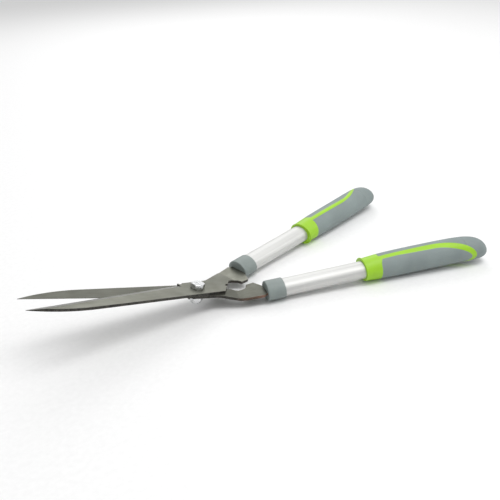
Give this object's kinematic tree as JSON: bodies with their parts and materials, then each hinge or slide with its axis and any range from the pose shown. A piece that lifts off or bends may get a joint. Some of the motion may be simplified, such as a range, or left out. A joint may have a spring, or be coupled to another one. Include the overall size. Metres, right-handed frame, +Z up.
{
  "type": "hedge shears",
  "caption": "Hedge shears: lapped steel blades on a bolted pivot, cranked tangs in ferruled oval aluminium handles with soft two-colour grips.",
  "frame": {"origin": "centre of the bounding box in plan, on the plane the tool lies on (both ferrules and both grips touch it)", "axes": "+X from the blade tips to the handles, +Z up from the resting plane, +Y towards the upper arm's handle"},
  "size_m": [0.5872, 0.2628, 0.0802],
  "materials": {
    "blade_steel": "ground grey carbon steel, fine grain, lightly oiled",
    "bright_zinc": "bright zinc plating",
    "tube_aluminium": "satin natural anodised",
    "ferrule_grey": "fine textured moulded plastic",
    "insert_plastic": "plain moulded plastic",
    "pin_steel": "plain steel",
    "grip_green": "semi-matt moulded plastic",
    "grip_grey": "matt soft-touch rubber",
    "lock_ring_nylon": "natural nylon"
  },
  "bodies": {
    "lower_arm": {"lower_blade": "blade_steel", "lower_ferrule": "ferrule_grey", "lower_handle_tube": "tube_aluminium", "lower_tang_insert": "insert_plastic", "lower_tang_pin": "pin_steel", "lower_grip_core": "grip_green", "lower_grip_outer_pad": "grip_grey", "lower_grip_palm_pad": "grip_grey", "lower_grip_end_cap": "grip_grey", "pivot_bolt": "bright_zinc", "nut_washer": "bright_zinc", "pivot_nut": "bright_zinc", "nut_lock_ring": "lock_ring_nylon"},
    "upper_arm": {"upper_blade": "blade_steel", "upper_ferrule": "ferrule_grey", "upper_handle_tube": "tube_aluminium", "upper_tang_insert": "insert_plastic", "upper_tang_pin": "pin_steel", "upper_grip_core": "grip_green", "upper_grip_outer_pad": "grip_grey", "upper_grip_palm_pad": "grip_grey", "upper_grip_end_cap": "grip_grey"}
  },
  "joints": [
    {"name": "pivot", "type": "hinge", "parent": "lower_arm", "child": "upper_arm", "pos_m": [-0.08308, 0, 0.02475], "axis": [0.2524, 0, 0.9676], "range_deg": [-8.1, 50]}
  ]
}
